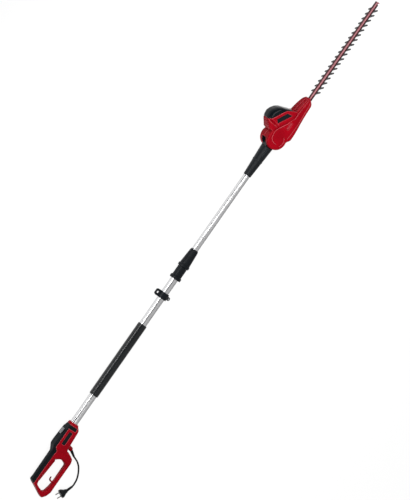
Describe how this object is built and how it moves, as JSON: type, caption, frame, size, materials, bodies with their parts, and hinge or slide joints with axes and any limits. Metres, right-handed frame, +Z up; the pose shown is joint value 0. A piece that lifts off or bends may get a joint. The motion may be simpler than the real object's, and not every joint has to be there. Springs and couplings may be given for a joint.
{
  "type": "pole hedge trimmer",
  "caption": "Electric hedge trimmer on a telescopic pole: D-handle with trigger at one end, tilting motor head with a double-sided reciprocating blade at the other.",
  "frame": {"origin": "centre of the box of the rigid tool, on the floor that it lies on", "axes": "+X along the pole towards the blade tip, +Y towards the tool's top with the motor cap and grip, +Z up, across the tool"},
  "size_m": [2.4536, 0.2841, 0.08],
  "materials": {
    "red_shell": "moulded red plastic",
    "black_shell": "moulded black plastic",
    "soft_grip": "soft black overmould",
    "foam": "black foam",
    "tube": "brushed aluminium",
    "steel": "zinc plated steel",
    "blade": "laser-cut blade steel",
    "guard": "red lacquer",
    "cable": "black cable sheath",
    "plug_metal": "nickel plated brass",
    "winding": "copper windings",
    "casting": "die-cast metal",
    "grey_plastic": "grey plastic"
  },
  "bodies": {
    "handle_and_pole": {"handle_shell_left": "red_shell", "handle_shell_right": "red_shell", "grip_cover": "soft_grip", "front_collar": "red_shell", "handle_plate": "black_shell", "trigger_pin": "steel", "trigger_spring": "steel", "switch_body": "black_shell", "cable_clamp": "black_shell", "handle_screws": "steel", "cord_gland": "red_shell", "strain_relief": "cable", "cord": "cable", "plug_relief": "cable", "plug_body": "cable", "plug_pins": "plug_metal", "outer_tube": "tube", "foam_grip": "foam", "lock_body": "black_shell", "collet": "grey_plastic", "coiled_cable": "cable"},
    "trigger": {"trigger": "red_shell"},
    "switch_plunger": {"switch_plunger": "grey_plastic"},
    "lock_off_slider": {"lock_off_slider": "grey_plastic"},
    "strap_clamp": {"strap_clamp": "black_shell", "clamp_bolt": "steel"},
    "lock_nut": {"lock_nut": "black_shell"},
    "inner_pole": {"inner_tube": "tube", "guide_bush": "black_shell", "inner_lead": "cable", "arm_left": "black_shell", "arm_right": "black_shell", "arm_screws": "steel", "tilt_spring": "steel"},
    "tilt_button": {"tilt_button": "black_shell"},
    "head": {"head_shell_left": "red_shell", "head_shell_right": "red_shell", "motor_cap": "black_shell", "head_plate": "black_shell", "head_screws": "steel", "stator": "casting", "brush_gear": "winding", "motor_bearings": "steel", "gear_plate": "casting", "base_plate": "casting", "gear_bearings": "steel", "guard_bar": "guard", "blade_bolts": "steel", "pivot_bolt": "steel"},
    "rotor": {"armature": "winding", "fan": "black_shell", "pinion": "steel"},
    "drive": {"drive_gear": "steel", "gear_shaft": "steel"},
    "upper_blade": {"upper_blade": "blade"},
    "lower_blade": {"lower_blade": "blade"}
  },
  "joints": [
    {"name": "trigger_pull", "type": "hinge", "parent": "handle_and_pole", "child": "trigger", "pos_m": [-1.1728, -0.007, 0.04], "axis": [0, 0, 1], "range_deg": [0, 3.5], "stiffness_Nm_per_rad": 2, "springref_deg": -14.32},
    {"name": "plunger_press", "type": "slide", "parent": "handle_and_pole", "child": "switch_plunger", "axis": [0, 1, 0], "range_m": [0, 0.0075]},
    {"name": "lock_off_push", "type": "slide", "parent": "handle_and_pole", "child": "lock_off_slider", "axis": [1, 0, 0], "range_m": [0, 0.006], "stiffness_N_per_m": 600, "springref_m": -0.004},
    {"name": "strap_clamp_shift", "type": "slide", "parent": "handle_and_pole", "child": "strap_clamp", "axis": [1, 0, 0], "range_m": [-0.12, 0.06]},
    {"name": "lock_nut_twist", "type": "hinge", "parent": "handle_and_pole", "child": "lock_nut", "pos_m": [-0.0768, 0, 0.04], "axis": [1, 0, 0], "range_deg": [0, 120]},
    {"name": "pole_telescope", "type": "slide", "parent": "handle_and_pole", "child": "inner_pole", "axis": [1, 0, 0], "range_m": [-0.34, 0]},
    {"name": "tilt_button_press", "type": "slide", "parent": "inner_pole", "child": "tilt_button", "axis": [0, 0, 1], "range_m": [0, 0.005], "stiffness_N_per_m": 1200, "springref_m": -0.004, "deforming": ["tilt_spring"]},
    {"name": "head_tilt", "type": "hinge", "parent": "inner_pole", "child": "head", "pos_m": [0.5258, 0, 0.04], "axis": [0, 0, 1], "range_deg": [-75, 30]},
    {"name": "drive_spin", "type": "hinge", "parent": "head", "child": "drive", "pos_m": [0.6368, -0.02, 0.04], "axis": [0, 1, 0], "continuous": true},
    {"name": "motor_spin", "type": "hinge", "parent": "head", "child": "rotor", "pos_m": [0.6018, 0.02, 0.04], "axis": [0, 1, 0], "continuous": true},
    {"name": "upper_blade_stroke", "type": "slide", "parent": "head", "child": "upper_blade", "axis": [1, 0, 0], "range_m": [-0.006, 0.006]},
    {"name": "lower_blade_stroke", "type": "slide", "parent": "head", "child": "lower_blade", "axis": [1, 0, 0], "range_m": [-0.006, 0.006]}
  ],
  "couplings": [
    {"joint": "plunger_press", "follows": "trigger_pull", "m_per_rad": 0.12},
    {"joint": "motor_spin", "follows": "drive_spin", "ratio": -6},
    {"joint": "lower_blade_stroke", "follows": "upper_blade_stroke", "ratio": -1}
  ]
}
